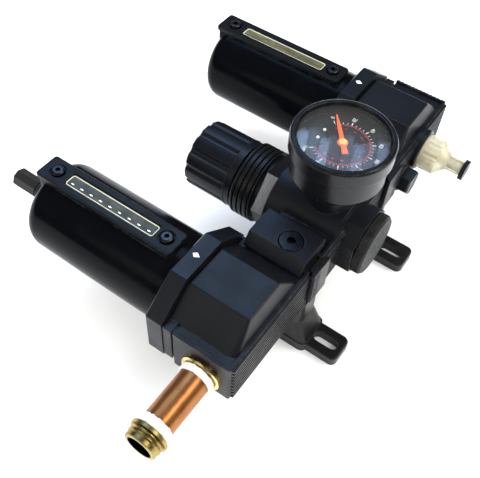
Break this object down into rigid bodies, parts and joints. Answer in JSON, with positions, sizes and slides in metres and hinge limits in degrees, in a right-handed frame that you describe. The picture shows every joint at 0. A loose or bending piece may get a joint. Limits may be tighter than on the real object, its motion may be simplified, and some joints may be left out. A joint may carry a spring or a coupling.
{
  "type": "filter regulator lubricator",
  "caption": "Compressed air filter, pressure regulator with gauge and oil lubricator joined in a row on slotted wall brackets, with metal bowls and a copper inlet stub.",
  "frame": {"origin": "on the wall plane under the brackets' ears, behind the point where the pressure gauge's axis meets the air passage", "axes": "+Z points out of the wall towards the gauge's dial, +Y is up when the set hangs on a wall, +X points towards the air inlet"},
  "size_m": [0.2677, 0.1998, 0.1146],
  "materials": {
    "body": "satin paint on die-cast body",
    "bowl": "gloss black paint on cast bowl",
    "collar": "moulded lock ring",
    "bonnet": "moulded, satin",
    "knob": "moulded, lightly polished by hands",
    "clamp": "satin paint",
    "bracket": "satin paint",
    "steel": "oiled",
    "dark_steel": "black oxide",
    "spring": "drawn wire",
    "brass": "turned",
    "copper": "drawn copper tube",
    "sleeve": "white sealing tape",
    "filter_window": "tinted window",
    "oil_window": "tinted window",
    "dome": "clear moulded plastic, yellowed",
    "lens": "clear",
    "gauge_black": "gloss",
    "bezel": "dark plated",
    "dial": "printed face",
    "needle": "painted",
    "black_plastic": "moulded",
    "cap": "moulded, worn face",
    "rubber": "seal",
    "element": "sintered",
    "white_plastic": "moulded"
  },
  "bodies": {
    "housing": {"bonnet": "bonnet", "bourdon_tube": "brass", "bracket_filter_side": "bracket", "bracket_lubricator_side": "bracket", "clamp_filter_side": "clamp", "clamp_lubricator_side": "clamp", "clamp_screws": "dark_steel", "copper_tube": "copper", "diaphragm": "rubber", "dome_ring": "black_plastic", "drip_nozzle": "brass", "element_baffle": "white_plastic", "element_baseplate": "black_plastic", "element_stud": "brass", "end_adapter": "brass", "end_sleeve": "sleeve", "filter_body": "body", "filter_element": "element", "gauge_bezel": "bezel", "gauge_case": "gauge_black", "gauge_dial": "dial", "gauge_lens": "lens", "gauge_movement": "brass", "gauge_stem": "brass", "inlet_adapter": "brass", "inlet_sleeve": "sleeve", "joint_o_rings": "rubber", "lubricator_body": "body", "poppet_spring": "spring", "range_spring": "spring", "regulator_body": "body", "sight_dome": "dome", "siphon_tube": "white_plastic", "valve_cap": "cap", "valve_seat": "brass"},
    "filter_bowl_set": {"filter_bowl": "bowl", "filter_bowl_collar": "collar", "filter_bowl_o_ring": "rubber", "filter_sight_frame": "black_plastic", "filter_sight_glass": "filter_window", "filter_sight_screws": "dark_steel", "drain_body": "black_plastic"},
    "drain_knob": {"drain_knob": "black_plastic"},
    "lubricator_bowl_set": {"lubricator_bowl": "bowl", "lubricator_bowl_collar": "collar", "lubricator_bowl_o_ring": "rubber", "lubricator_sight_frame": "black_plastic", "lubricator_sight_glass": "oil_window", "lubricator_sight_screws": "dark_steel"},
    "adjusting_screw": {"adjusting_screw": "steel"},
    "adjusting_knob": {"adjusting_knob": "knob"},
    "spring_seat": {"spring_seat": "steel"},
    "valve": {"diaphragm_plate": "steel", "valve_poppet": "brass", "poppet_seal": "rubber"},
    "needle": {"gauge_needle": "needle", "needle_hub": "brass"},
    "feed_adjuster": {"feed_adjuster": "black_plastic"},
    "fill_plug_washer": {"fill_plug_washer": "rubber"},
    "fill_plug": {"fill_plug": "black_plastic"}
  },
  "joints": [
    {"name": "filter_bowl_turn", "type": "hinge", "parent": "housing", "child": "filter_bowl_set", "pos_m": [0.0777, -0.08, 0.0515], "axis": [0, 1, 0], "range_deg": [0, 45]},
    {"name": "drain_knob_turn", "type": "hinge", "parent": "filter_bowl_set", "child": "drain_knob", "pos_m": [0.0777, -0.147, 0.0515], "axis": [0, 1, 0], "range_deg": [0, 180]},
    {"name": "lubricator_bowl_turn", "type": "hinge", "parent": "housing", "child": "lubricator_bowl_set", "pos_m": [-0.0777, -0.08, 0.0515], "axis": [0, 1, 0], "range_deg": [0, 45]},
    {"name": "adjusting_screw_turn", "type": "hinge", "parent": "housing", "child": "adjusting_screw", "pos_m": [0, -0.066, 0.0515], "axis": [0, 1, 0], "range_deg": [0, 1440], "deforming": ["range_spring"]},
    {"name": "knob_unlock_slide", "type": "slide", "parent": "adjusting_screw", "child": "adjusting_knob", "axis": [0, -1, 0], "range_m": [0, 0.0025]},
    {"name": "spring_seat_slide", "type": "slide", "parent": "housing", "child": "spring_seat", "axis": [0, 1, 0], "range_m": [0, 0.006]},
    {"name": "valve_lift", "type": "slide", "parent": "housing", "child": "valve", "axis": [0, 1, 0], "range_m": [0, 0.0015], "stiffness_N_per_m": 400, "springref_m": -0.001, "deforming": ["poppet_spring", "diaphragm", "range_spring"]},
    {"name": "needle_turn", "type": "hinge", "parent": "housing", "child": "needle", "pos_m": [0, 0, 0.108], "axis": [0, 0, 1], "range_deg": [-264, 6]},
    {"name": "feed_adjuster_turn", "type": "hinge", "parent": "housing", "child": "feed_adjuster", "pos_m": [-0.0777, 0.045, 0.054], "axis": [0, 1, 0], "range_deg": [0, 720]},
    {"name": "fill_plug_lift", "type": "slide", "parent": "housing", "child": "fill_plug_washer", "axis": [0, 1, 0], "range_m": [0, 0.012]},
    {"name": "fill_plug_turn", "type": "hinge", "parent": "fill_plug_washer", "child": "fill_plug", "pos_m": [-0.058, 0.022, 0.046], "axis": [0, -1, 0], "range_deg": [-2880, 0]}
  ],
  "couplings": [
    {"joint": "spring_seat_slide", "follows": "adjusting_screw_turn", "m_per_rad": 0.00023873},
    {"joint": "fill_plug_turn", "follows": "fill_plug_lift", "rad_per_m": -4188.8}
  ]
}
